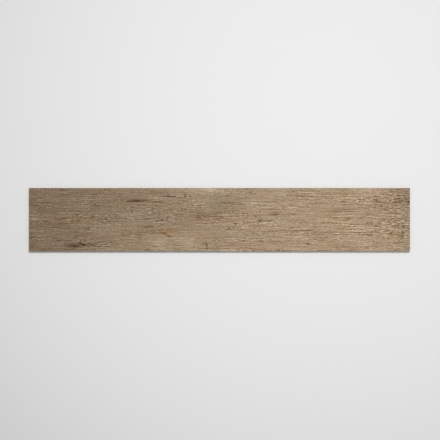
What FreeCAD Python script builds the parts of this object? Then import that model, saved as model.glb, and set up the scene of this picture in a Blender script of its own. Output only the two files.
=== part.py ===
"""Wood-look porcelain plank tile: one dry-pressed, fired and edge-ground piece.

Frame: origin under the middle of the back, on the plane of the rib crowns that the plank lies on.
+X runs along the grain, +Y across the plank and +Z up to the printed walking face.  Millimetres.
"""

import FreeCAD
import Part

import math
import os

# The plank, ground to size on all four edges
LENGTH = 1200.0
WIDTH = 200.0
THICKNESS = 9.5

# Bevel of 45 degrees that the grinding wheels leave along the four top edges
ARRIS = 0.8

# Back, pressed as a waffle of shallow pockets that the adhesive keys into
POCKET_PITCH = 20.0
RIB_WIDTH = 3.0
POCKET_DEPTH = 0.7
POCKET_WALL_SLOPE = 40.0  # degrees from upright, so that the press punch lets go
LEAST_BACK_BORDER = 9.0  # flat band kept between the ground edge and the first pocket


def ground_blank():
    """The fired slab after grinding: square sides, and an arris along each top edge."""
    corner = FreeCAD.Vector(-LENGTH / 2, -WIDTH / 2, 0)
    slab = Part.makeBox(LENGTH, WIDTH, THICKNESS, corner)
    top_face = max(slab.Faces, key=lambda face: face.CenterOfMass.z)
    return slab.makeChamfer(ARRIS, top_face.Edges)


def square_wire(side, height):
    """A closed square about the Z axis."""
    half = side / 2
    corners = [(-half, -half), (half, -half), (half, half), (-half, half)]
    points = [FreeCAD.Vector(x, y, height) for x, y in corners]
    return Part.makePolygon(points + points[:1])


def punch_boss():
    """One boss of the press punch: widest at the rib crowns, and tapered to the pocket's floor."""
    mouth_side = POCKET_PITCH - RIB_WIDTH
    floor_side = mouth_side - 2 * POCKET_DEPTH * math.tan(math.radians(POCKET_WALL_SLOPE))
    sections = [square_wire(mouth_side, 0), square_wire(floor_side, POCKET_DEPTH)]
    return Part.makeLoft(sections, True, True)


def row_places(extent):
    """Middles of the pockets along one side, as many as leave the border, centred on the plank."""
    room = extent - 2 * LEAST_BACK_BORDER + RIB_WIDTH
    count = math.floor(room / POCKET_PITCH)
    return [(index - (count - 1) / 2) * POCKET_PITCH for index in range(count)]


def press_punch():
    """All the bosses of the punch, one for each pocket of the waffle."""
    boss = punch_boss()
    places = [FreeCAD.Vector(x, y, 0) for x in row_places(LENGTH) for y in row_places(WIDTH)]
    return [boss.translated(place) for place in places]


def plank_tile():
    """The whole plank, with its arrises above and its waffle below."""
    return ground_blank().cut(press_punch())


os.makedirs("parts", exist_ok=True)
plank_tile().exportStep("parts/plank_tile.step")
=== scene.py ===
"""Looks of a wood-look porcelain plank tile: a pressed slab with a grained, printed face and a waffle back.

The plank lies flat with its grain along X and its printed face up.  Blender works in metres.  Tones of the
print are written in levels from 0 to 255, as they look on a screen, and the grain's sizes in millimetres.
"""

import bpy

import math
from collections import namedtuple
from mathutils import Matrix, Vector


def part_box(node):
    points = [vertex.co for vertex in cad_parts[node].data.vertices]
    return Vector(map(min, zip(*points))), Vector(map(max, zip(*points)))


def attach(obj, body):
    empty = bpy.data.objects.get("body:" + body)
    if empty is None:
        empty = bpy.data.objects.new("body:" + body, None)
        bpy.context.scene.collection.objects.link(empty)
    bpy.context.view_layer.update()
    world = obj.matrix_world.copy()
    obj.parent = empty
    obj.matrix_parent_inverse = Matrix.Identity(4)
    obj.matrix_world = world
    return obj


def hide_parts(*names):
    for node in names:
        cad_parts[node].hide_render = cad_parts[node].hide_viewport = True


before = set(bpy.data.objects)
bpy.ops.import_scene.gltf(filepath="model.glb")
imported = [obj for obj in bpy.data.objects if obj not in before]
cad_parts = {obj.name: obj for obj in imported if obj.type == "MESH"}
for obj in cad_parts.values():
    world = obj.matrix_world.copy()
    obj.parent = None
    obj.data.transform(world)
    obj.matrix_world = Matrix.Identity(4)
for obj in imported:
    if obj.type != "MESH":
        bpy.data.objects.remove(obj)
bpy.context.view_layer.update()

MM = 0.001
NODE = "plank_tile"
LOW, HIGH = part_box(NODE)
LENGTH, WIDTH, THICKNESS = HIGH - LOW

# Ground edges and pressed back, as the solid has them: the pockets' walls slope by so much from upright
ARRIS = 0.8 * MM
POCKET_PITCH = 20 * MM
RIB_WIDTH = 3 * MM
POCKET_DEPTH = 0.7 * MM
POCKET_WALL_SLOPE = math.radians(40)
LEAST_BACK_BORDER = 9 * MM
RIB_ROUNDING = 0.35 * MM

# Cells of the walking face: long along the grain and narrow across it, as the relief is
FACE_CELLS_ALONG = 400
FACE_CELLS_ACROSS = 186

# How far a face looks up or down: less than LEVEL makes it a pocket's wall, and less than UPRIGHT a side
LEVEL = math.cos(math.radians(18))
UPRIGHT = math.cos(math.radians(84))

# The sharpest angle that is shaded smooth, and how close counts as touching
SMOOTH_UP_TO = math.radians(40)
CLOSE = 0.01 * MM

# The order of the plank's finishes
PRINT, EDGE, BACK = 0, 1, 2

# Rooms on the texture map, as shares of its height: most of it is the walking face's
MAP_RIM = 0.004
FACE_ROOM = (0.004, 0.700)
BACK_ROOM = (0.708, 0.936)
FAR_ROOM = (0.942, 0.953)
NEAR_ROOM = (0.957, 0.968)
RIGHT_ROOM = (0.972, 0.983)
LEFT_ROOM = (0.987, 0.998)

# A run: from low to high as some value goes from start to end, and no further
Run = namedtuple("Run", "start end low high", defaults=[0, 1])

# The photograph, a square of so many pixels, and where the plank lies in it
PHOTO_SIDE = 440
PLANK_LEFT, PLANK_RIGHT = 29.0, 410.0
PLANK_TOP, PLANK_BOTTOM = 188.0, 251.5

# The camera's lens and sensor, in millimetres
LENS = 120
SENSOR = 36

# Studio: the floor's paper with a painted pool of light, painted brightest beyond the plank's right half
# and darker by the square of the distance from there, and even far out, the key light, the fill, and the
# backdrop that the camera sees in its place
FLOOR_SIZE = 40
PAINTED_LIGHT_SPOT = (0.35, 0.4, 0)
PAINTED_LIGHT_PEAK = 0.855
PAINTED_LIGHT_FALL = 0.11
PAPER_FAR = 0.80
PAPER_EVENS_OUT = Run(0.9, 2.2)
KEY_PLACE = (1.15, 2.3, 4.3)
KEY_SOFTNESS = math.radians(15)
KEY_STRENGTH = 1.9
FILL_STRENGTH = 0.48
FILL_OR_BACKDROP = Run(0, 1, FILL_STRENGTH, PAPER_FAR)
WHITE = (1, 1, 1, 1)

# A layer of noise: the length and height of its cells in millimetres, how many finer layers it carries, the
# seed that shifts it, what it adds where it is 1, in levels unless said otherwise, and how rough it is
Layer = namedtuple("Layer", "long tall finer seed amount roughness", defaults=[1, 0.5])

# How many cells a seed shifts a layer by, and the gain that spreads noise about a half to -1 to 1
SEED_SHIFT_ALONG = 17.3
SEED_SHIFT_ACROSS = 31.7
NOISE_GAIN = 4.0

# How far the fibres wander, the rims of marks are ragged and the rough end wavers, in millimetres
SLOW_WANDER = Layer(420, 80, finer=1, seed=1, amount=7.0)
QUICK_WANDER = Layer(90, 24, finer=1, seed=2, amount=1.6)
RAGGED_ALONG = Layer(9, 5, finer=2, seed=11, amount=2.5)
RAGGED_ACROSS = Layer(14, 5, finer=2, seed=12, amount=0.9)
RAGGED_END = Layer(150, 45, finer=2, seed=4, amount=30)

# Slow changes of the wood's tone, warmth, blush and figure
BANDS = Layer(420, 30, finer=2, seed=3, amount=3.0)
STREAKS = Layer(190, 6.5, finer=2, seed=5, amount=6.4)
WARM_BANDS = Layer(110, 30, finer=2, seed=13, amount=2.0)
BLUSH_BANDS = Layer(140, 40, finer=2, seed=15, amount=1.1)
FIGURE = Layer(170, 26, finer=2, seed=16)

# The grain itself, from its short flecks and long lines to single fibres, and the saw's lines across it
FLECKS = Layer(6.5, 2.5, finer=1, seed=6, amount=12.8)
LINES = Layer(75, 2.8, finer=1, seed=14, amount=10.6)
STRANDS = Layer(24, 1.1, finer=2, seed=20, amount=19.0, roughness=0.6)
FIBRES = Layer(50, 0.45, finer=1, seed=21, amount=10.0)
RAYS = Layer(7.5, 2.2, finer=1, seed=22)
PORES = Layer(24, 0.5, finer=1, seed=7)
TORN_FLECKS = Layer(12, 2.6, finer=1, seed=8)
SAW_LINES = Layer(5.5, 60, finer=1, seed=9, amount=10.0)

# Growth rings: their width in millimetres, how far they drift, in radians, where they show, and their tone
RING_SPACING = 6.6
RING_DRIFT = Layer(260, 14, finer=1, seed=17, amount=2.5)
RING_PATCHES = Layer(120, 18, finer=1, seed=18)
RINGS_SHOWN = Run(-0.5, 0.9, 0, 0.95)
RING_TONE = 14.8

# Along the plank, in millimetres: tone, warmth, how lively the grain is, and where the rough end starts
TONE_ALONG = Run(-600, 200, 104, 146)
WARMTH_ALONG = Run(-500, 400, 41, 52)
LIVELY_ALONG = Run(-100, 250, 0.95, 1.13)
ROUGH_ALONG = Run(455, 560)

# The glaze thins along the ground edges: over how many millimetres, and the tone, warmth and depth there
RIM = Run(0.5, 5)
RIM_TONE = Run(0, 1, -8, 0)
RIM_WARMTH = Run(0, 1, -12, 0)
RIM_DEPTH = Run(0, 1, 0.3, 1)

# The strength of the grain by its figure, what the rough end and each level of a mark add to it, and how
# knotty the rough end is
FIGURE_STRENGTH = Run(-0.9, 0.9, 0.6, 1.35)
ROUGH_STRENGTH = 0.3
MARK_STRENGTH = -0.01
ROUGH_KNOTTY = 0.7

# How deep the grain is pressed, in millimetres, as its layers and the dark marks go below 0
FLECK_DEPTH = Run(0.5, -1.4, 0, 0.18)
LINE_DEPTH = Run(0.4, -1.4, 0, 0.14)
STREAK_DEPTH = Run(0.4, -1.5, 0, 0.12)
MARK_DEPTH = Run(0, -60, 0, 0.45)
TORN_DEPTH = Run(0.4, -1.2, 0, 0.18)

# Oak's open pores: how dark flecks and lines crowd them, where they show, their tone and their depth
PORES_BY_FLECKS = -0.5
PORES_BY_LINES = -0.4
PORES_SHOWN = Run(0.30, 0.42)
PORE_TONE = -23.0
PORE_BUMP = 0.08 * MM

# Pale rays, torn wood, how far single fibres fray the grain, in millimetres, and how they fray dark marks
RAY_TONE = Run(0.3, 1.0, 0, 32)
TORN_DARK = Run(-0.2, -1.0, 0, -62)
TORN_PALE = Run(0.3, 1.0, 0, 39)
GRAIN_FRAY = 3.6
MARK_FRAY = 9.0
MARK_SHOWN = Run(-4, -36, 0.7, 1.13)

# Ink: the darkest brown that the print has and how gently tones run out into it, in levels, what a level of
# warmth adds to red, green and blue, and how a screen's levels turn into light
DARKEST_INK = 30
INK_RUN_OUT = 60
WARM_RED = 0.387
WARM_GREEN = -0.08
WARM_BLUE = -0.613
FULL_LEVEL = 255
SCREEN_GAMMA = 2.2

# Matt glaze: its roughness by the depth in millimetres, dullest in the low places, and its shine
GLAZE_ROUGHNESS = Run(0, 0.5, 0.56, 0.78)
GLAZE_SHINE = 0.3

# Bare body: its colours in levels, the size in millimetres and the strength of its specks, and its relief
EDGE_COLOUR = (148, 134, 117)
EDGE_SPECKS = 0.7
EDGE_MOTTLE = 0.7
BACK_COLOUR = (158, 141, 121)
BACK_SPECKS = 1.4
BACK_MOTTLE = 0.55
BACK_BUMP = 0.15 * MM
BODY_BUMP_STRENGTH = 0.6
CLOUDS_PER_METRE = 22

# Lines that the grinding wheels leave: how many to a metre each way, and their shade and roughness
WHEEL_LINES = (20, 20, 2200)
WHEEL_SHADE = Run(0.3, 0.7, 0.9, 1.1)
WHEEL_ROUGHNESS = Run(0.3, 0.7, 0.55, 0.75)
WHEEL_BUMP = 0.05 * MM

# Kiln wash: its colour in levels, the height of the crowns that it is rubbed on, and its smears
WASH_COLOUR = (206, 200, 190)
WASH_HEIGHT = Run(0.45 * MM, 0.02 * MM)
WASH_SMEARS_PER_METRE = 60
WASH_SHOWN = Run(0.38, 0.62, 0, 0.75)
WASH_ROUGHNESS = Run(0, 1, 0.82, 0.95)

# Kinds of sockets in a node group, and the places of a mix node's sockets when it mixes colours
VECTOR = "NodeSocketVector"
FLOAT = "NodeSocketFloat"
MIX_SHARE, MIX_FIRST, MIX_SECOND, MIX_RESULT = 0, 6, 7, 2

# Marks in the print that stand out: places from the middle of the face and half sizes, in millimetres,
# what a mark adds at its middle, in levels of tone unless its list says otherwise, and how many degrees it
# rises to the right
Mark = namedtuple("Mark", "x y long tall amount turn", defaults=[0])

# Patches that are paler or, below 0, darker than the wood round them
TONE_PATCHES = [
    Mark(-345, -32, 150, 60, 8),
    Mark(-345, -98, 110, 30, 16),
    Mark(-188, -72, 90, 44, 26),
    Mark(-95, -72, 70, 60, 22),
    Mark(-60, 96, 230, 34, 22),
    Mark(-40, 12, 170, 34, -22),
    Mark(17, 50, 90, 38, -18),
    Mark(-150, 84, 70, 30, -8),
    Mark(-560, 30, 60, 40, -8),
    Mark(-490, -40, 60, 40, -6),
    Mark(-455, -85, 70, 30, -10),
    Mark(80, -15, 50, 60, 8),
    Mark(95, 55, 60, 50, 6),
    Mark(175, 21, 60, 22, -9),
    Mark(225, 0, 50, 26, 12),
    Mark(250, -36, 70, 22, -14),
    Mark(190, -82, 50, 28, -16),
    Mark(240, 72, 60, 26, -9),
    Mark(370, 25, 70, 22, -12),
    Mark(350, -66, 60, 26, -8),
    Mark(455, -52, 80, 34, 10),
    Mark(474, 96, 70, 24, 14),
    Mark(570, 66, 90, 54, -34),
    Mark(600, -20, 110, 150, -20),
    Mark(-590, -60, 60, 60, -8),
    Mark(-310, 70, 50, 36, -9),
    Mark(-25, 98, 70, 26, 12),
    Mark(0, 5, 90, 30, -5),
    Mark(-375, -20, 60, 50, 4),
    Mark(310, 80, 60, 40, -6),
    Mark(490, 40, 80, 60, -5),
    Mark(540, -60, 60, 50, -6),
    Mark(-172, 52, 40, 24, -5),
    Mark(-215, 20, 60, 24, 6),
    Mark(-330, 60, 40, 24, -6),
    Mark(-150, -94, 70, 16, 8),
    Mark(-60, -94, 60, 16, 6),
    Mark(95, -94, 50, 14, 7),
    Mark(2, 92, 74, 20, 12),
    Mark(-60, 76, 50, 14, 7),
    Mark(-60, 46, 50, 22, -6),
    Mark(-157, -27, 22, 14, -14, -50),
    Mark(64, 50, 36, 26, -9),
    Mark(310, 14, 60, 22, 8),
    Mark(376, 44, 32, 18, 12),
    Mark(210, 0, 50, 60, -5),
    Mark(545, 66, 50, 20, 8),
    Mark(592, -16, 30, 40, 8),
    Mark(592, -42, 24, 24, 20),
    Mark(541, -56, 30, 18, 10),
    Mark(592, 94, 34, 20, -18),
    Mark(472, 76, 40, 16, -12),
    Mark(125, -42, 40, 16, -9),
    Mark(-359, 94, 40, 12, -10),
    Mark(44, 86, 26, 12, 9),
    Mark(-522, -92, 40, 14, -9),
    Mark(-130, -18, 40, 16, 8),
    Mark(-520, 0, 44, 14, 7),
    Mark(322, -4, 28, 14, 8),
    Mark(-290, 26, 26, 14, 8),
    Mark(225, 60, 50, 14, -6),
    Mark(-375, -48, 30, 16, 5),
]

# Cracks that opened as the wood dried, and the painted shadow round them
CHECKS_AND_PAINTED_SHADOW = [
    Mark(-463, -82.5, 36, 9.5, -36),
    Mark(-451, -82.5, 20, 7, -58),
    Mark(-434, -76.6, 21, 6, -116, -18),
    Mark(-458, -76.2, 30, 6, -30),
    Mark(-405, -76, 38, 5, -20),
    Mark(-396, -80, 38, 13, -26),
    Mark(-482, -82, 20, 8, -24),
    Mark(-424, -65, 11, 5.5, -54),
    Mark(-427, -79, 11, 5, -42),
    Mark(-422, -72, 8, 4.5, -46),
    Mark(-433, -68.5, 8, 4.5, -28),
    Mark(-262, 58.8, 48, 6.2, -104),
    Mark(-288, 57.5, 24, 6, -30),
    Mark(-228, 61.5, 36, 5.5, -38, 4),
    Mark(-200, 57, 42, 5, -38),
    Mark(-182, 59.5, 18, 4.5, -34),
    Mark(-157, 73.3, 20, 3.6, -96),
    Mark(-143, 73.3, 18, 3.6, -110),
    Mark(-178, 73, 24, 4.5, -34),
    Mark(-226, -22, 26, 5.5, -52),
    Mark(-222, -22, 40, 11, -14),
    Mark(-176, -42.5, 26, 11, -18, -20),
    Mark(-166, -46, 26, 11, -16, -25),
    Mark(-156, -54.5, 20, 9, -22, -18),
]

# Small dark knots
KNOTS = [
    Mark(99, 86, 11, 9, -75),
    Mark(85, 97, 9, 7, -60),
    Mark(113, 12, 16, 5, -42),
    Mark(278, -76, 11, 8, -74),
    Mark(289, -71, 9, 4.5, -32, 25),
    Mark(-448, 15, 9, 4.5, -78),
    Mark(-464, -2.5, 6, 6.5, -58),
    Mark(-356, 3, 10, 6, -46),
    Mark(-366, 3, 5, 6.5, -32),
    Mark(-410, -29, 7, 5.5, -52),
    Mark(466, -10, 8, 5, -66),
    Mark(478, -10.5, 9, 5, -72),
]

# Short cuts across the grain
SAW_NICKS = [
    Mark(-41, -81, 4.4, 20, -96, 4),
    Mark(-39.5, -93, 4.6, 9, -62),
    Mark(-52, -76.5, 13, 4, -50),
    Mark(-108, 77, 4.4, 17, -76),
    Mark(-92, 76, 4.4, 17, -80),
    Mark(-137, 78, 6, 8, -20),
    Mark(-284, 17, 4.2, 11, -64),
    Mark(-277, 24, 4, 10, -55),
]

# Lines of open grain
GRAIN_STREAKS = [
    Mark(-580, 78, 20, 4.5, -32),
    Mark(-555, 53, 18, 4.5, -30),
    Mark(-560, 37, 24, 5, -32),
    Mark(-567, 25, 24, 15, -14),
    Mark(-580, -8, 34, 9, -22),
    Mark(-573, -33, 28, 7, -20),
    Mark(-590, -86, 7, 6, -48),
    Mark(-540, -92, 38, 5.5, -28),
    Mark(-557, -97, 14, 4.5, -38),
    Mark(-525, 24, 28, 4.5, -24),
    Mark(-505, -13, 80, 4.5, -30),
    Mark(-502, -1, 12, 5, -58),
    Mark(-500, 34, 22, 4.5, -24),
    Mark(-485, 78, 42, 4.5, -28),
    Mark(-462, 31, 38, 4.5, -28),
    Mark(-455, -39, 32, 4.5, -28),
    Mark(-440, -62, 14, 5, -24),
    Mark(-488, -33, 28, 6, -20),
    Mark(-458, -91, 16, 5.5, -28),
    Mark(-403, 6, 20, 4.5, -36, 8),
    Mark(-395, 50, 24, 4.5, -34),
    Mark(-385, 43, 36, 4.5, -36),
    Mark(-378, 82, 24, 4.5, -20),
    Mark(-384, -4, 12, 4.5, -16),
    Mark(-358, 96, 26, 5.5, -28),
    Mark(-352, -77, 20, 6, -20),
    Mark(-345, 41, 12, 4.5, -32),
    Mark(-331, 3, 16, 5.5, -32),
    Mark(-318, 6, 12, 4.5, -32, 10),
    Mark(-282, -38, 16, 5.5, -32),
    Mark(-276, 37, 12, 4.5, -38),
    Mark(-260, 87, 42, 4.5, -28),
    Mark(-238, 2, 14, 4.5, -10, 15),
    Mark(-210, 72.5, 12, 4.5, -34),
    Mark(-208, 34, 18, 4.5, -36, 12),
    Mark(-200, 46, 18, 4.5, -30, 6),
    Mark(-208, -82, 18, 5.5, -26),
    Mark(-195, 12, 12, 4.5, -48, 8),
    Mark(-196, -4, 12, 4, -44),
    Mark(-181, -1.5, 10, 4.5, -64, 10),
    Mark(-165, 3, 9, 4.5, -48, 20),
    Mark(-152, 32, 16, 5.5, -38, -8),
    Mark(-120, 18, 20, 4.5, -28),
    Mark(-120, 68, 18, 4.5, -28),
    Mark(-115, 88, 7, 4.5, -44),
    Mark(-112, 31, 36, 5.5, -18),
    Mark(-113, -38, 7, 4.5, -32),
    Mark(-70, 27, 22, 5.5, -30),
    Mark(-62, 12, 32, 5.5, -28),
    Mark(-70, 5, 30, 4.5, -34),
    Mark(-66, 38, 26, 7, -22),
    Mark(0, 46, 22, 4.5, -28),
    Mark(0, 6, 16, 5, -32),
    Mark(-15, 16, 22, 5.5, -22),
    Mark(2, 85, 16, 4.5, -30),
    Mark(24, 75, 24, 4.5, -30),
    Mark(40, 25, 14, 4.5, -42),
    Mark(24, -11, 16, 5, -24),
    Mark(28, -29, 12, 4.2, -70),
    Mark(66, -29, 28, 3.8, -42),
    Mark(46, -79, 20, 4.5, -30),
    Mark(50, -12, 18, 6, -58),
    Mark(74, -67, 20, 4.5, -38),
    Mark(94, 51, 18, 7, -34),
    Mark(74, 48, 20, 7, -26),
    Mark(88, -8, 24, 4.5, -16),
    Mark(104, -74, 18, 4.5, -28),
    Mark(114, -58, 6, 4.5, -38),
    Mark(127, -1.5, 13, 5.5, -84),
    Mark(150, -4, 20, 4, -30),
    Mark(129, -67, 21, 4.5, -56),
    Mark(130, 15, 18, 4.5, -38),
    Mark(125, -11, 22, 5.5, -32),
    Mark(134, -37, 18, 5, -32),
    Mark(148, 66, 9, 4.5, -30),
    Mark(174, 15, 24, 4.2, -54),
    Mark(182, -69, 32, 4.5, -26),
    Mark(217, -71, 24, 6, -20),
    Mark(204, -37, 22, 6, -24),
    Mark(184, -95.5, 16, 4, -38),
    Mark(200, 57, 18, 4.5, -28),
    Mark(226, -26, 20, 4.5, -38),
    Mark(238, -36, 24, 4.5, -34),
    Mark(232, 18, 22, 4.5, -50),
    Mark(255, 16, 20, 5, -28),
    Mark(236, 59, 16, 6.5, -28),
    Mark(239, -90, 18, 5, -24),
    Mark(254, 37, 16, 4.5, -34),
    Mark(255, -10.5, 36, 4, -34),
    Mark(270, 66, 28, 4.8, -34),
    Mark(290, 94, 18, 4.5, -42),
    Mark(282, -51.5, 26, 4, -32),
    Mark(285, -36, 30, 4, -34),
    Mark(410, 4, 18, 4, -20),
    Mark(360, 5.5, 36, 4, -38),
    Mark(327, 92, 22, 5, -26),
    Mark(372, 78, 16, 4.5, -30),
    Mark(378, -13.5, 14, 4.5, -36),
    Mark(411, 66, 26, 6, -34),
    Mark(407, 3, 20, 4.2, -54),
    Mark(418, 25, 22, 4, -26),
    Mark(446, -30, 20, 6, -30),
    Mark(446, 5, 16, 4.2, -38),
]

# Lines of torn grain at the rough end
END_STREAKS = [
    Mark(492, 60, 20, 7, -62),
    Mark(495, 54, 14, 6, -60),
    Mark(494, -21.5, 15, 5, -76),
    Mark(493, -30, 14, 4.5, -60),
    Mark(503, -13, 18, 5.5, -44),
    Mark(510, -2.5, 16, 4.5, -40),
    Mark(522, 31.5, 20, 5.5, -54),
    Mark(527, -33, 15, 4.5, -44),
    Mark(534, -3.5, 4.5, 4.5, -64),
    Mark(540, -1, 4.5, 4.5, -36),
    Mark(532, 81, 14, 4.5, -38),
    Mark(542, 18.5, 11, 4.5, -46),
    Mark(546, 6, 12, 4, -26),
    Mark(532, -21, 14, 5, -48),
    Mark(551, 82, 10, 5.5, -46),
    Mark(551, -86, 14, 5.5, -38),
    Mark(519, -21, 12, 5, -26),
    Mark(557, 25, 12, 5, -24),
    Mark(554, 38, 12, 5, -24),
    Mark(570, 13, 12, 5, -22),
    Mark(553, -20, 14, 7.5, -66),
    Mark(508, -76, 18, 5.5, -26),
    Mark(577, -52, 18, 4.5, -38),
    Mark(578, 58, 34, 11, -22),
    Mark(583, 78, 16, 4.5, -44),
    Mark(592, -26, 16, 4, -40),
    Mark(594, 55, 16, 10, -38),
]
DARK_MARKS = CHECKS_AND_PAINTED_SHADOW + KNOTS + SAW_NICKS + GRAIN_STREAKS + END_STREAKS

# Pale flecks and glints beside the dark marks
PALE_FLECKS = [
    Mark(-575, 3, 48, 4.5, 30),
    Mark(-474, -1.5, 10, 5.5, 54),
    Mark(-402, -28.5, 7, 5.5, 60),
    Mark(-424, -71, 11, 4.5, 28),
    Mark(-420, -87.5, 13, 5, 36),
    Mark(-280, 16, 3.8, 11, 60),
    Mark(-268, 22, 3.8, 11, 48),
    Mark(-275, 3, 9, 4.5, 32),
    Mark(-150, 69, 20, 4.5, 36),
    Mark(-149, 77.5, 22, 5, 42),
    Mark(26, 47, 11, 4.5, 32),
    Mark(12, 25, 14, 6, 20),
    Mark(107, -90, 26, 8, 16),
    Mark(390, -21, 22, 6, 18),
    Mark(-37, 66, 20, 7, 16),
    Mark(-37, 14, 18, 6, 14),
    Mark(-265, -1, 18, 7, 30),
    Mark(324, -8, 22, 7, 18),
    Mark(472, -49, 20, 7, 16),
    Mark(280, 23, 24, 6, 14),
    Mark(532, 93, 24, 8, 20),
    Mark(541, -55, 20, 7, 16),
    Mark(557, -40, 16, 6, 20),
    Mark(576, -18, 12, 6, 22),
    Mark(551, 63, 14, 6, 20),
    Mark(73, -25.5, 20, 3.5, 28),
    Mark(52, -33, 13, 4.5, 30),
    Mark(232, 9, 11, 4.5, 36),
    Mark(418, -1, 28, 4, 30),
    Mark(497, -25.8, 13, 4.2, 52),
    Mark(522, -12.5, 9, 4.5, 54),
    Mark(516, -16, 7, 4, 38),
]

# Patches where the grain is knotty and breaks into short flecks: how strongly
KNOTTY_PATCHES = [
    Mark(-360, -8, 120, 45, 0.4),
    Mark(-285, 8, 60, 40, 0.5),
    Mark(-470, -5, 60, 30, 0.3),
    Mark(-440, -55, 70, 30, 0.5),
    Mark(-190, 15, 110, 50, 0.4),
    Mark(332, -28, 40, 40, 0.6),
    Mark(-20, -70, 60, 25, 0.4),
    Mark(230, 5, 60, 30, 0.4),
    Mark(455, -50, 40, 24, 0.5),
    Mark(545, -8, 90, 76, 1.5),
]

# Patches where the grain is calm: the share of its strength that is lost
CALM_PATCHES = [
    Mark(-520, 60, 160, 80, 0.4),
    Mark(-540, -50, 140, 70, 0.3),
    Mark(-370, -55, 80, 40, 0.4),
    Mark(-60, -40, 150, 60, 0.4),
    Mark(125, 70, 60, 60, 0.5),
    Mark(95, -25, 60, 36, 0.3),
    Mark(370, 60, 130, 60, 0.4),
    Mark(-110, 20, 40, 40, 0.3),
]

# Patches where the growth rings show as fine combed lines: how strongly
COMBED_PATCHES = [
    Mark(440, -30, 110, 46, 2.6),
    Mark(400, 8, 110, 34, 2.3),
    Mark(510, 18, 60, 26, 1.2),
    Mark(350, 60, 110, 40, 0.7),
    Mark(330, -70, 110, 30, 0.6),
    Mark(520, -60, 70, 36, 0.8),
    Mark(-390, 46, 80, 24, 0.7),
    Mark(262, 76, 80, 34, 0.9),
    Mark(180, 8, 90, 40, 0.9),
    Mark(90, -70, 110, 34, 0.6),
    Mark(280, -40, 60, 34, 1.0),
    Mark(-300, 80, 90, 30, 0.6),
    Mark(-480, 25, 80, 30, 0.5),
]

# Patches that are warmer or greyer than the wood round them: levels of warmth
HUE_PATCHES = [
    Mark(-460, 2, 110, 34, 10),
    Mark(-165, -36, 100, 40, 10),
    Mark(-300, -60, 120, 50, 4),
    Mark(105, -90, 120, 34, 11),
    Mark(330, 10, 110, 40, 7),
    Mark(500, 14, 90, 30, 6),
    Mark(545, -45, 50, 60, 6),
    Mark(-225, 20, 100, 50, -6),
    Mark(30, 62, 150, 60, -6),
    Mark(440, 60, 90, 50, -4),
    Mark(585, 60, 60, 70, -9),
    Mark(-158, -40, 48, 26, 11),
    Mark(-225, -22, 40, 13, 7),
    Mark(-520, -56, 100, 24, 4),
    Mark(-120, 24, 44, 28, 4),
    Mark(385, 66, 80, 36, 4),
    Mark(-60, -48, 120, 22, 3),
    Mark(600, -20, 60, 140, -8),
]

# Patches that are pinker or, below 0, more olive than the wood round them: levels of green lost
BLUSH_PATCHES = [
    Mark(-505, -92, 150, 44, 1.8),
    Mark(-395, -60, 90, 28, 2.2),
    Mark(-595, -10, 60, 34, 1.6),
    Mark(-155, 79, 56, 22, 3.2),
    Mark(-170, -42, 44, 24, 2.6),
    Mark(-45, -2, 90, 28, 2.4),
    Mark(120, -92, 60, 26, 1.6),
    Mark(494, 13, 60, 34, 1.4),
    Mark(-150, -94, 190, 36, -2.4),
    Mark(-59, 78, 90, 34, -1.8),
    Mark(207, -92, 60, 28, -1.6),
    Mark(592, 68, 80, 60, -3.2),
]

# Patches where saw marks cross the grain: how strongly
SAW_PATCHES = [
    Mark(-282, 12, 34, 28, 1.2),
    Mark(-277, -77, 34, 28, 1.2),
    Mark(305, -80, 36, 26, 1.3),
    Mark(-500, 54, 44, 24, 0.8),
    Mark(-34, -84, 54, 26, 0.7),
    Mark(240, -34, 50, 14, 0.6),
]

# Zones where the grain slants: the rise across the grain for each millimetre along it
SLANTS = [
    Mark(-205, 14, 110, 55, 0.24),
    Mark(-45, 76, 100, 45, -0.24),
    Mark(390, 82, 120, 40, 0.08),
]

# Small knots that the fibres spread round: how far the grain opens, as a share
KNOT_BENDS = [
    Mark(-470, -2, 60, 26, 0.75),
    Mark(-440, -68, 70, 28, 0.6),
    Mark(-405, -30, 45, 22, 0.7),
    Mark(-278, 12, 50, 34, 0.5),
    Mark(279, -77, 40, 22, 0.6),
    Mark(535, -8, 60, 40, 0.15),
]


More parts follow.
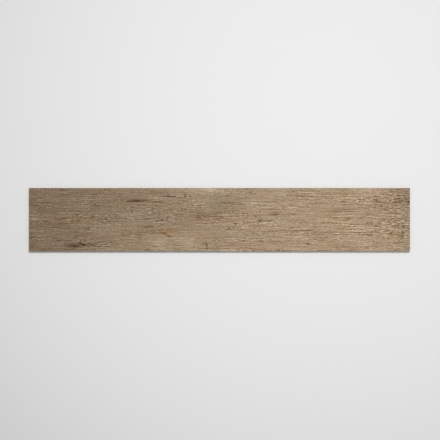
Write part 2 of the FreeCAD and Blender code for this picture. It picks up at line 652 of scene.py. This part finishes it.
class Sketch:
    """Adds nodes to one tree, of a material or of a modifier, and links the sockets that it is given."""

    def __init__(self, tree):
        self.tree = tree

    def feed(self, made, inputs):
        """Links or sets the inputs of a node."""
        for key, value in inputs.items():
            if isinstance(value, bpy.types.NodeSocket):
                self.tree.links.new(value, made.inputs[key])
            else:
                made.inputs[key].default_value = value

    def node(self, kind, inputs, **settings):
        """A new node with these settings and inputs."""
        made = self.tree.nodes.new(kind)
        for name, value in settings.items():
            setattr(made, name, value)
        self.feed(made, inputs)
        return made

    def group(self, tree, inputs):
        """The outputs of a node group that is given these inputs."""
        return self.node(tree.bl_idname.replace("Tree", "Group"), inputs, node_tree=tree).outputs

    def math(self, operation, *values, clamp=False):
        made = self.node("ShaderNodeMath", dict(enumerate(values)), operation=operation, use_clamp=clamp)
        return made.outputs[0]

    def total(self, first, *others):
        for other in others:
            first = self.math("ADD", first, other)
        return first

    def times(self, first, *others):
        for other in others:
            first = self.math("MULTIPLY", first, other)
        return first

    def vector(self, operation, *values):
        return self.node("ShaderNodeVectorMath", dict(enumerate(values)), operation=operation).outputs[0]

    def moved(self, place, along=0.0, across=0.0):
        """A place moved along and across the plank."""
        shift = self.node("ShaderNodeCombineXYZ", {"X": along, "Y": across}).outputs[0]
        return self.vector("ADD", place, shift)

    def parts(self, place):
        """How far a place is along, across and up."""
        return tuple(self.node("ShaderNodeSeparateXYZ", {0: place}).outputs)

    def distance(self, place):
        """How far a place is from the origin."""
        return self.node("ShaderNodeVectorMath", {0: place}, operation="LENGTH").outputs["Value"]

    def ramp(self, value, run, soft=True):
        """Follows a run as the value goes from its start to its end, eased or straight."""
        inputs = {
            "Value": value,
            "From Min": run.start,
            "From Max": run.end,
            "To Min": run.low,
            "To Max": run.high,
        }
        easing = "SMOOTHSTEP" if soft else "LINEAR"
        return self.node("ShaderNodeMapRange", inputs, interpolation_type=easing, clamp=True).outputs[0]

    def mixed(self, share, first, second):
        """A colour between two others."""
        inputs = {MIX_SHARE: share, MIX_FIRST: first, MIX_SECOND: second}
        return self.node("ShaderNodeMix", inputs, data_type="RGBA").outputs[MIX_RESULT]

    def noise(self, place, layer):
        """A layer of noise about 0, mostly from -1 to 1."""
        cells = (1 / layer.long, 1 / layer.tall, 0)
        shift = (layer.seed * SEED_SHIFT_ALONG, layer.seed * SEED_SHIFT_ACROSS, 0)
        spot = self.vector("MULTIPLY_ADD", place, cells, shift)
        inputs = {"Vector": spot, "Scale": 1.0, "Detail": layer.finer, "Roughness": layer.roughness}
        made = self.node("ShaderNodeTexNoise", inputs, noise_dimensions="2D")
        return self.math("MULTIPLY_ADD", made.outputs[0], NOISE_GAIN, -NOISE_GAIN / 2)

    def swing(self, place, layer):
        """A layer of noise about 0, times what it adds."""
        return self.times(self.noise(place, layer), layer.amount)

    def mottle(self, position, per_metre, finer, roughness=0.5):
        """Noise through the body of a piece, from 0 to 1."""
        inputs = {"Vector": position, "Scale": per_metre, "Detail": finer, "Roughness": roughness}
        return self.node("ShaderNodeTexNoise", inputs).outputs[0]

    def bump(self, height, distance, strength=1.0, invert=False):
        """Relief that only the light shows."""
        inputs = {"Height": height, "Distance": distance, "Strength": strength}
        return self.node("ShaderNodeBump", inputs, invert=invert).outputs[0]


def new_group(name, kind, inputs, outputs):
    """An empty node group with these sockets, the sockets of its input node, and its output node."""
    tree = bpy.data.node_groups.new(name, kind)
    for side, sockets in (("INPUT", inputs), ("OUTPUT", outputs)):
        for socket, form in sockets.items():
            tree.interface.new_socket(socket, in_out=side, socket_type=form)
    given = tree.nodes.new("NodeGroupInput").outputs
    wanted = tree.nodes.new("NodeGroupOutput")
    return tree, given, wanted


def add_mark_group():
    """Adds one soft oval mark to a sum: all of its amount in its middle, and none at its rim."""
    sockets = {
        "Sum": FLOAT,
        "Face": VECTOR,
        "Place": VECTOR,
        "Half Size": VECTOR,
        "Turn": FLOAT,
        "Amount": FLOAT,
    }
    tree, given, wanted = new_group("add_mark", "GeometryNodeTree", sockets, {"Sum": FLOAT})
    sketch = Sketch(tree)
    from_middle = sketch.vector("SUBTRACT", given["Face"], given["Place"])
    turning = {"Vector": from_middle, "Angle": given["Turn"]}
    turned = sketch.node("ShaderNodeVectorRotate", turning, rotation_type="Z_AXIS").outputs[0]
    share = sketch.vector("DIVIDE", turned, given["Half Size"])
    fading = sketch.node("ShaderNodeTexGradient", {"Vector": share}, gradient_type="QUADRATIC_SPHERE")
    oval = fading.outputs["Fac"]
    sketch.feed(wanted, {"Sum": sketch.math("MULTIPLY_ADD", oval, given["Amount"], given["Sum"])})
    return tree


class WoodSketch(Sketch):
    """A sketch of the press, which can also lay marks on the face."""

    def __init__(self, tree):
        super().__init__(tree)
        self.add_mark = add_mark_group()

    def marks(self, face, marks):
        """What a set of marks adds up to at a place on the face."""
        total = 0.0
        for mark in marks:
            inputs = {
                "Sum": total,
                "Face": face,
                "Place": (mark.x, mark.y, 0),
                "Half Size": (mark.long, mark.tall, 1),
                "Turn": -math.radians(mark.turn),
                "Amount": mark.amount,
            }
            total = self.group(self.add_mark, inputs)["Sum"]
        return total


def face_in_mm(sketch, position):
    """Places on the walking face in millimetres, with no height."""
    return sketch.vector("MULTIPLY", position, (1 / MM, 1 / MM, 0))


def grain_run(sketch, face):
    """The face laid out along straight grain: the fibres wander, slant in zones and open round knots."""
    along, _, _ = sketch.parts(face)
    drop = sketch.total(sketch.swing(face, SLOW_WANDER), sketch.swing(face, QUICK_WANDER))
    for slant in SLANTS:
        to_middle = sketch.math("SUBTRACT", slant.x, along)
        drop = sketch.math("MULTIPLY_ADD", to_middle, sketch.marks(face, [slant]), drop)
    grain = sketch.moved(face, across=drop)
    for knot in KNOT_BENDS:
        _, across, _ = sketch.parts(grain)
        to_knot = sketch.math("SUBTRACT", knot.y, across)
        grain = sketch.moved(grain, across=sketch.times(to_knot, sketch.marks(grain, [knot])))
    return grain


def inside_rim(sketch, face):
    """From 0 at the plank's edges to 1 where the glaze has its full thickness."""
    along, across, _ = sketch.parts(face)
    end_gap = sketch.math("SUBTRACT", LENGTH / MM / 2, sketch.math("ABSOLUTE", along))
    side_gap = sketch.math("SUBTRACT", WIDTH / MM / 2, sketch.math("ABSOLUTE", across))
    return sketch.ramp(sketch.math("MINIMUM", end_gap, side_gap), RIM)


def at_rough_end(sketch, face):
    """From 0 to 1 at the rough end of the plank, with a ragged border."""
    along, _, _ = sketch.parts(face)
    return sketch.ramp(sketch.total(sketch.swing(face, RAGGED_END), along), ROUGH_ALONG)


def wood_tone(sketch, face, grain, ragged, inside):
    """Dark and brown at one end and lighter towards the other, with bands, patches and pale flecks."""
    along, _, _ = sketch.parts(face)
    return sketch.total(
        sketch.ramp(along, TONE_ALONG, soft=False),
        sketch.marks(face, TONE_PATCHES),
        sketch.swing(grain, BANDS),
        sketch.swing(grain, STREAKS),
        sketch.marks(ragged, PALE_FLECKS),
        sketch.ramp(inside, RIM_TONE, soft=False),
    )


def wood_warmth(sketch, face, grain, inside):
    """How far red stands above blue."""
    along, _, _ = sketch.parts(face)
    return sketch.total(
        sketch.ramp(along, WARMTH_ALONG, soft=False),
        sketch.swing(grain, WARM_BANDS),
        sketch.marks(face, HUE_PATCHES),
        sketch.ramp(inside, RIM_WARMTH, soft=False),
    )


def grain_strength(sketch, face, grain, dark_marks, rough_end):
    """How strong the grain is: more towards the rough end and in dark marks, and less in calm patches."""
    along, _, _ = sketch.parts(face)
    strength = sketch.total(
        sketch.ramp(along, LIVELY_ALONG),
        sketch.times(rough_end, ROUGH_STRENGTH),
        sketch.times(dark_marks, MARK_STRENGTH),
        sketch.times(sketch.marks(face, CALM_PATCHES), -1),
    )
    return sketch.times(strength, sketch.ramp(sketch.noise(grain, FIGURE), FIGURE_STRENGTH))


def pressed_depth(sketch, grain, dark_marks, rough_end, inside):
    """How deep the press goes, in millimetres: most in checks and knots, and little along the edges."""
    torn = sketch.ramp(sketch.noise(grain, TORN_FLECKS), TORN_DEPTH)
    depth = sketch.total(
        sketch.ramp(sketch.noise(grain, FLECKS), FLECK_DEPTH),
        sketch.ramp(sketch.noise(grain, LINES), LINE_DEPTH),
        sketch.ramp(sketch.noise(grain, STREAKS), STREAK_DEPTH),
        sketch.ramp(dark_marks, MARK_DEPTH),
        sketch.times(torn, rough_end),
    )
    return sketch.times(depth, sketch.ramp(inside, RIM_DEPTH, soft=False))


def weathered_oak(sketch, position):
    """The wood that the press and the print share, value by value."""
    face = face_in_mm(sketch, position)
    grain = grain_run(sketch, face)
    ragged = sketch.moved(face, sketch.swing(face, RAGGED_ALONG), sketch.swing(face, RAGGED_ACROSS))
    dark_marks = sketch.marks(ragged, DARK_MARKS)
    inside = inside_rim(sketch, face)
    rough_end = at_rough_end(sketch, face)
    return {
        "grain_run": grain,
        "wood_tone": wood_tone(sketch, face, grain, ragged, inside),
        "dark_marks": dark_marks,
        "wood_warmth": wood_warmth(sketch, face, grain, inside),
        "wood_blush": sketch.total(sketch.swing(grain, BLUSH_BANDS), sketch.marks(face, BLUSH_PATCHES)),
        "grain_strength": grain_strength(sketch, face, grain, dark_marks, rough_end),
        "grain_knotty": sketch.total(
            sketch.times(rough_end, ROUGH_KNOTTY), sketch.marks(face, KNOTTY_PATCHES)
        ),
        "grain_combed": sketch.marks(face, COMBED_PATCHES),
        "saw_marks": sketch.marks(face, SAW_PATCHES),
        "pressed_depth": pressed_depth(sketch, grain, dark_marks, rough_end, inside),
    }


def new_material(name):
    """A new material, its sketch, its Principled shader and the places on the piece, in metres."""
    material = bpy.data.materials.new(name)
    material.use_nodes = True
    sketch = Sketch(material.node_tree)
    shader = material.node_tree.nodes["Principled BSDF"]
    position = sketch.node("ShaderNodeTexCoord", {}).outputs["Object"]
    return material, sketch, shader, position


def stored_value(sketch, name, output="Fac"):
    """A value that the press left on the mesh."""
    return sketch.node("ShaderNodeAttribute", {}, attribute_name=name).outputs[output]


def open_pores(sketch, grain, flecks, lines):
    """The thin dashes that oak's vessels leave, from 0 to 1, crowded where the figure is dark."""
    dark = sketch.total(
        sketch.times(flecks, PORES_BY_FLECKS),
        sketch.times(lines, PORES_BY_LINES),
        sketch.noise(grain, PORES),
    )
    return sketch.ramp(dark, PORES_SHOWN)


def growth_rings(sketch, grain):
    """Fine lines side by side, plain where they are combed and faint elsewhere, about 0."""
    _, across, _ = sketch.parts(grain)
    turn = sketch.total(sketch.swing(grain, RING_DRIFT), sketch.times(across, 2 * math.pi / RING_SPACING))
    patchy = sketch.ramp(sketch.noise(grain, RING_PATCHES), RINGS_SHOWN)
    shown = sketch.total(patchy, stored_value(sketch, "grain_combed"))
    return sketch.times(sketch.math("SINE", turn), shown)


def frayed_marks(sketch, fibres):
    """The dark marks, with rims that the fibres fray and that are crisper than the mesh can hold them."""
    dark = stored_value(sketch, "dark_marks")
    rims = sketch.total(sketch.times(fibres, MARK_FRAY), dark)
    return sketch.times(dark, sketch.ramp(rims, MARK_SHOWN))


def torn_wood(sketch, frayed):
    """The broken figure of knotty wood, dark and pale."""
    torn = sketch.noise(frayed, TORN_FLECKS)
    return sketch.total(sketch.ramp(torn, TORN_DARK), sketch.ramp(torn, TORN_PALE))


def ink_colour(sketch, tone):
    """Tone, warmth and blush to red, green and blue, from levels as seen on a screen to light."""
    tone = sketch.math("SMOOTH_MAX", tone, DARKEST_INK, INK_RUN_OUT)
    blushed = sketch.math("SUBTRACT", tone, stored_value(sketch, "wood_blush"))
    warmth = stored_value(sketch, "wood_warmth")
    levels = [
        sketch.math("MULTIPLY_ADD", warmth, WARM_RED, tone),
        sketch.math("MULTIPLY_ADD", warmth, WARM_GREEN, blushed),
        sketch.math("MULTIPLY_ADD", warmth, WARM_BLUE, tone),
    ]
    channels = [sketch.math("MULTIPLY", level, 1 / FULL_LEVEL, clamp=True) for level in levels]
    screen = sketch.node("ShaderNodeCombineColor", dict(enumerate(channels))).outputs[0]
    return sketch.node("ShaderNodeGamma", {"Color": screen, "Gamma": SCREEN_GAMMA}).outputs[0]


def printed_oak():
    """The walking face: matt glaze over an ink-jet print of weathered oak, with its pores pressed in."""
    material, sketch, shader, position = new_material("printed_oak")
    grain = stored_value(sketch, "grain_run", "Vector")
    fibres = sketch.noise(grain, FIBRES)
    frayed = sketch.moved(grain, along=sketch.times(fibres, GRAIN_FRAY))
    flecks = sketch.noise(frayed, FLECKS)
    lines = sketch.noise(frayed, LINES)
    pores = open_pores(sketch, grain, flecks, lines)
    fine_grain = sketch.total(
        sketch.times(flecks, FLECKS.amount),
        sketch.times(lines, LINES.amount),
        sketch.swing(grain, STRANDS),
        sketch.times(fibres, FIBRES.amount),
        sketch.times(growth_rings(sketch, grain), RING_TONE),
        sketch.times(pores, PORE_TONE),
        sketch.ramp(sketch.noise(frayed, RAYS), RAY_TONE),
    )
    saw_lines = sketch.swing(face_in_mm(sketch, position), SAW_LINES)
    tone = sketch.total(
        stored_value(sketch, "wood_tone"),
        frayed_marks(sketch, fibres),
        sketch.times(fine_grain, stored_value(sketch, "grain_strength")),
        sketch.times(torn_wood(sketch, frayed), stored_value(sketch, "grain_knotty")),
        sketch.times(saw_lines, stored_value(sketch, "saw_marks")),
    )
    glaze = {
        "Base Color": ink_colour(sketch, tone),
        "Roughness": sketch.ramp(stored_value(sketch, "pressed_depth"), GLAZE_ROUGHNESS),
        "Specular IOR Level": GLAZE_SHINE,
        "Normal": sketch.bump(pores, PORE_BUMP, invert=True),
    }
    sketch.feed(shader, glaze)
    return material


def fired_speckle_group():
    """Fired porcelain body: fine mineral specks and a slow clouding, about 1."""
    sockets = {"Position": VECTOR, "Speck Size": FLOAT, "Strength": FLOAT}
    tree, given, wanted = new_group("fired_speckle", "ShaderNodeTree", sockets, {"Shade": FLOAT})
    sketch = Sketch(tree)
    per_metre = sketch.math("DIVIDE", 1 / MM, given["Speck Size"])
    specks = sketch.mottle(given["Position"], per_metre, finer=2)
    clouds = sketch.mottle(given["Position"], CLOUDS_PER_METRE, finer=3)
    about_0 = sketch.math("SUBTRACT", sketch.total(specks, clouds), 1.0)
    sketch.feed(wanted, {"Shade": sketch.math("MULTIPLY_ADD", about_0, given["Strength"], 1.0)})
    return tree


def shaded(sketch, levels, shade):
    """A colour of so many levels, in light, made darker or lighter by a shade about 1."""
    light = [(level / FULL_LEVEL) ** SCREEN_GAMMA for level in levels]
    return sketch.node("ShaderNodeVectorMath", {0: light, "Scale": shade}, operation="SCALE").outputs[0]


def ground_edge(speckle):
    """Arrises and sides: bare body, with the lines that the grinding wheels leave."""
    material, sketch, shader, position = new_material("ground_edge")
    specks = {"Position": position, "Speck Size": EDGE_SPECKS, "Strength": EDGE_MOTTLE}
    shade = sketch.group(speckle, specks)["Shade"]
    wheel = sketch.mottle(sketch.vector("MULTIPLY", position, WHEEL_LINES), per_metre=1, finer=2)
    lined = sketch.times(shade, sketch.ramp(wheel, WHEEL_SHADE))
    body = {
        "Base Color": shaded(sketch, EDGE_COLOUR, lined),
        "Roughness": sketch.ramp(wheel, WHEEL_ROUGHNESS),
        "Normal": sketch.bump(wheel, WHEEL_BUMP, BODY_BUMP_STRENGTH),
    }
    sketch.feed(shader, body)
    return material


def pressed_back(speckle):
    """The back: raw pressed body, with pale kiln wash rubbed on the crowns of the ribs."""
    material, sketch, shader, position = new_material("pressed_back")
    specks = {"Position": position, "Speck Size": BACK_SPECKS, "Strength": BACK_MOTTLE}
    shade = sketch.group(speckle, specks)["Shade"]
    _, _, height = sketch.parts(position)
    smears = sketch.mottle(position, WASH_SMEARS_PER_METRE, finer=4, roughness=0.6)
    cover = sketch.times(sketch.ramp(height, WASH_HEIGHT), sketch.ramp(smears, WASH_SHOWN))
    bare = shaded(sketch, BACK_COLOUR, shade)
    washed = shaded(sketch, WASH_COLOUR, shade)
    body = {
        "Base Color": sketch.mixed(cover, bare, washed),
        "Roughness": sketch.ramp(cover, WASH_ROUGHNESS),
        "Normal": sketch.bump(shade, BACK_BUMP, BODY_BUMP_STRENGTH),
    }
    sketch.feed(shader, body)
    return material


def select_only(*pieces):
    """Selects these pieces and no others, the first as the active one."""
    bpy.ops.object.select_all(action="DESELECT")
    for piece in pieces:
        piece.select_set(True)
    bpy.context.view_layer.objects.active = pieces[0]


def edit(piece):
    """Opens a piece for editing with nothing selected."""
    select_only(piece)
    bpy.ops.object.mode_set(mode="EDIT")
    bpy.ops.mesh.select_all(action="DESELECT")


def leave_edit():
    bpy.ops.object.mode_set(mode="OBJECT")


def select_rim():
    """Selects the open edges of the mesh that is being edited."""
    bpy.ops.mesh.select_mode(type="EDGE")
    bpy.ops.mesh.select_all(action="DESELECT")
    bpy.ops.mesh.select_non_manifold(
        use_wire=False, use_multi_face=False, use_non_contiguous=False, use_verts=False
    )


def edit_new_grid(along, across):
    """A new grid of so many cells, 1 metre square, all selected and open for editing."""
    bpy.ops.object.select_all(action="DESELECT")
    bpy.ops.mesh.primitive_grid_add(x_subdivisions=along, y_subdivisions=across, size=1, location=(0, 0, 0))
    grid = bpy.context.object
    edit(grid)
    bpy.ops.mesh.select_all(action="SELECT")
    return grid


def face_and_walls():
    """The walking face as a fine grid, with its arrises and sides drawn down from its rim."""
    piece = edit_new_grid(FACE_CELLS_ALONG, FACE_CELLS_ACROSS)
    bpy.ops.transform.resize(value=(LENGTH - 2 * ARRIS, WIDTH - 2 * ARRIS, 1))
    bpy.ops.transform.translate(value=(0, 0, THICKNESS))
    select_rim()
    bpy.ops.mesh.extrude_region_move(TRANSFORM_OT_translate={"value": (0, 0, -ARRIS)})
    bpy.ops.transform.resize(value=(LENGTH / (LENGTH - 2 * ARRIS), WIDTH / (WIDTH - 2 * ARRIS), 1))
    bpy.ops.mesh.extrude_region_move(TRANSFORM_OT_translate={"value": (0, 0, ARRIS - THICKNESS)})
    leave_edit()
    return piece


def pockets_in(extent):
    """How many pockets fit along one side of the back and leave the border."""
    return math.floor((extent - 2 * LEAST_BACK_BORDER + RIB_WIDTH) / POCKET_PITCH)


def waffle_back():
    """The pressed back: one grid cell for each pocket, inset to its mouth and again to its floor."""
    along = pockets_in(LENGTH)
    across = pockets_in(WIDTH)
    piece = edit_new_grid(along, across)
    bpy.ops.transform.resize(value=(along * POCKET_PITCH, across * POCKET_PITCH, 1))
    bpy.ops.mesh.select_mode(type="FACE")
    bpy.ops.mesh.inset(thickness=RIB_WIDTH / 2, depth=0, use_individual=True)
    draft = POCKET_DEPTH * math.tan(POCKET_WALL_SLOPE)
    bpy.ops.mesh.inset(thickness=draft, depth=POCKET_DEPTH, use_individual=True)
    leave_edit()
    round_ribs(piece)
    return piece


def round_ribs(piece):
    """Softens the crowns of the ribs and the foot of the pockets' walls."""
    walls = [face for face in piece.data.polygons if abs(face.normal.z) < LEVEL]
    wall_corners = {corner for wall in walls for corner in wall.vertices}
    edit(piece)
    bpy.ops.mesh.select_mode(type="EDGE")
    leave_edit()
    for edge in piece.data.edges:
        edge.select = wall_corners.issuperset(edge.vertices)
    bpy.ops.object.mode_set(mode="EDIT")
    bpy.ops.mesh.bevel(offset=RIB_ROUNDING, segments=1, affect="EDGES")
    leave_edit()


def close_back(plank, back):
    """Joins the back to the walls, and fills the flat border between them."""
    select_only(plank, back)
    bpy.ops.object.join()
    edit(plank)
    select_rim()
    bpy.ops.mesh.fill(use_beauty=True)
    bpy.ops.mesh.select_all(action="SELECT")
    bpy.ops.mesh.remove_doubles(threshold=CLOSE)
    bpy.ops.mesh.normals_make_consistent(inside=False)
    leave_edit()


def relief_group():
    """Sinks the walking face by the depth of its wood, and keeps the wood's values on the mesh."""
    shape = {"Geometry": "NodeSocketGeometry"}
    tree, given, wanted = new_group("pressed_relief", "GeometryNodeTree", shape, shape)
    sketch = WoodSketch(tree)
    position = sketch.node("GeometryNodeInputPosition", {}).outputs[0]
    wood = weathered_oak(sketch, position)
    geometry = given["Geometry"]
    for name, value in wood.items():
        form = "FLOAT_VECTOR" if name == "grain_run" else "FLOAT"
        keeping = {"Geometry": geometry, "Name": name, "Value": value}
        keep = sketch.node("GeometryNodeStoreNamedAttribute", keeping, data_type=form, domain="POINT")
        geometry = keep.outputs[0]
    drop = sketch.times(wood["pressed_depth"], -MM)
    offset = sketch.node("ShaderNodeCombineXYZ", {"Z": drop}).outputs[0]
    _, _, height = sketch.parts(position)
    on_face = sketch.math("GREATER_THAN", height, THICKNESS - CLOSE)
    moving = {"Geometry": geometry, "Selection": on_face, "Offset": offset}
    pressed = sketch.node("GeometryNodeSetPosition", moving).outputs[0]
    sketch.feed(wanted, {"Geometry": pressed})
    return tree


def press_relief(plank):
    """Presses the grain, checks and knots into the walking face."""
    modifier = plank.modifiers.new("pressed_relief", "NODES")
    modifier.node_group = relief_group()
    select_only(plank)
    bpy.ops.object.modifier_apply(modifier=modifier.name)


def dress(plank):
    """Gives each face of the plank its finish."""
    speckle = fired_speckle_group()
    for material in (printed_oak(), ground_edge(speckle), pressed_back(speckle)):
        plank.data.materials.append(material)
    for polygon in plank.data.polygons:
        height = polygon.center.z
        if height > THICKNESS - CLOSE:
            polygon.material_index = PRINT
        elif height < POCKET_DEPTH + CLOSE and abs(polygon.normal.z) > UPRIGHT:
            polygon.material_index = BACK
        else:
            polygon.material_index = EDGE


def room_on_map(polygon):
    """The room of a face of the plank, and whether it lies flat, along a side or across an end."""
    if polygon.material_index == PRINT:
        return FACE_ROOM, "flat"
    if polygon.material_index == BACK:
        return BACK_ROOM, "flat"
    normal = polygon.normal
    if abs(normal.y) > abs(normal.x):
        return FAR_ROOM if normal.y > 0 else NEAR_ROOM, "side"
    return RIGHT_ROOM if normal.x > 0 else LEFT_ROOM, "end"


def lay_out_map(plank):
    """Opens the plank flat on a texture map, each finish in a room of its own."""
    mesh = plank.data
    spots = mesh.uv_layers.new(name="OFBake").data
    for polygon in mesh.polygons:
        (bottom, top), lie = room_on_map(polygon)
        for corner in polygon.loop_indices:
            place = mesh.vertices[mesh.loops[corner].vertex_index].co
            along = place.y / WIDTH if lie == "end" else place.x / LENGTH
            up = place.y / WIDTH + 0.5 if lie == "flat" else place.z / THICKNESS
            across_map = MAP_RIM + (along + 0.5) * (1 - 2 * MAP_RIM)
            spots[corner].uv = (across_map, bottom + up * (top - bottom))


def fired_plank():
    """The whole plank, in the solid's place."""
    plank = face_and_walls()
    close_back(plank, waffle_back())
    dress(plank)
    press_relief(plank)
    lay_out_map(plank)
    bpy.ops.object.shade_smooth_by_angle(angle=SMOOTH_UP_TO)
    plank.name = "fired_plank"
    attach(plank, "root")
    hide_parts(NODE)


def paper_with_painted_light():
    """Pale matt paper with a painted pool of light: a little darker before the plank's left end,
    and even further out.
    """
    material, sketch, shader, position = new_material("paper_with_painted_light")
    from_painted_light = sketch.distance(sketch.vector("SUBTRACT", position, PAINTED_LIGHT_SPOT))
    # Painted light: the paper is painted brightest at the spot and darker by the square of the distance
    # from it
    shade = sketch.math("MULTIPLY_ADD", sketch.times(from_painted_light, from_painted_light), -PAINTED_LIGHT_FALL, PAINTED_LIGHT_PEAK)
    far = sketch.ramp(sketch.distance(position), PAPER_EVENS_OUT)
    even = sketch.node("ShaderNodeMix", {"Factor": far, "A": shade, "B": PAPER_FAR}).outputs[0]
    sketch.feed(shader, {"Base Color": even, "Roughness": 1.0, "Specular IOR Level": 0.0})
    return material


def studio_floor():
    """The floor that the plank lies on."""
    bpy.ops.object.select_all(action="DESELECT")
    bpy.ops.mesh.primitive_plane_add(size=FLOOR_SIZE, location=(0, 0, 0))
    floor = bpy.context.object
    floor.name = "studio_floor"
    floor.data.materials.append(paper_with_painted_light())


def key_light():
    """A soft light from the upper right."""
    lamp = bpy.data.lights.new("key_light", "SUN")
    lamp.angle = KEY_SOFTNESS
    lamp.energy = KEY_STRENGTH
    key = bpy.data.objects.new("key_light", lamp)
    bpy.context.scene.collection.objects.link(key)
    key.location = KEY_PLACE
    key.rotation_mode = "QUATERNION"
    key.rotation_quaternion = key.location.to_track_quat("Z", "Y")


def fill_and_backdrop():
    """Even light from all round, and a pale backdrop where it is seen."""
    world = bpy.data.worlds.new("studio")
    bpy.context.scene.world = world
    world.use_nodes = True
    sketch = Sketch(world.node_tree)
    rays = sketch.node("ShaderNodeLightPath", {}).outputs
    seen = sketch.math("MAXIMUM", rays["Is Camera Ray"], rays["Is Glossy Ray"])
    seen = sketch.math("MAXIMUM", seen, rays["Is Transmission Ray"])
    strength = sketch.ramp(seen, FILL_OR_BACKDROP, soft=False)
    sketch.feed(world.node_tree.nodes["Background"], {"Color": WHITE, "Strength": strength})


def photo_camera():
    """Looks straight down, with the plank where the photograph has it."""
    lens = bpy.data.cameras.new("photo_camera")
    lens.lens = LENS
    lens.sensor_width = SENSOR
    camera = bpy.data.objects.new("photo_camera", lens)
    bpy.context.scene.collection.objects.link(camera)
    per_pixel = LENGTH / (PLANK_RIGHT - PLANK_LEFT)
    right_of_plank = PHOTO_SIDE / 2 - (PLANK_LEFT + PLANK_RIGHT) / 2
    below_plank = PHOTO_SIDE / 2 - (PLANK_TOP + PLANK_BOTTOM) / 2
    distance = PHOTO_SIDE * per_pixel * LENS / SENSOR
    camera.location = (right_of_plank * per_pixel, -below_plank * per_pixel, THICKNESS + distance)
    bpy.context.scene.camera = camera


bpy.context.scene.view_settings.view_transform = "Standard"
photo_camera()
studio_floor()
key_light()
fill_and_backdrop()
fired_plank()
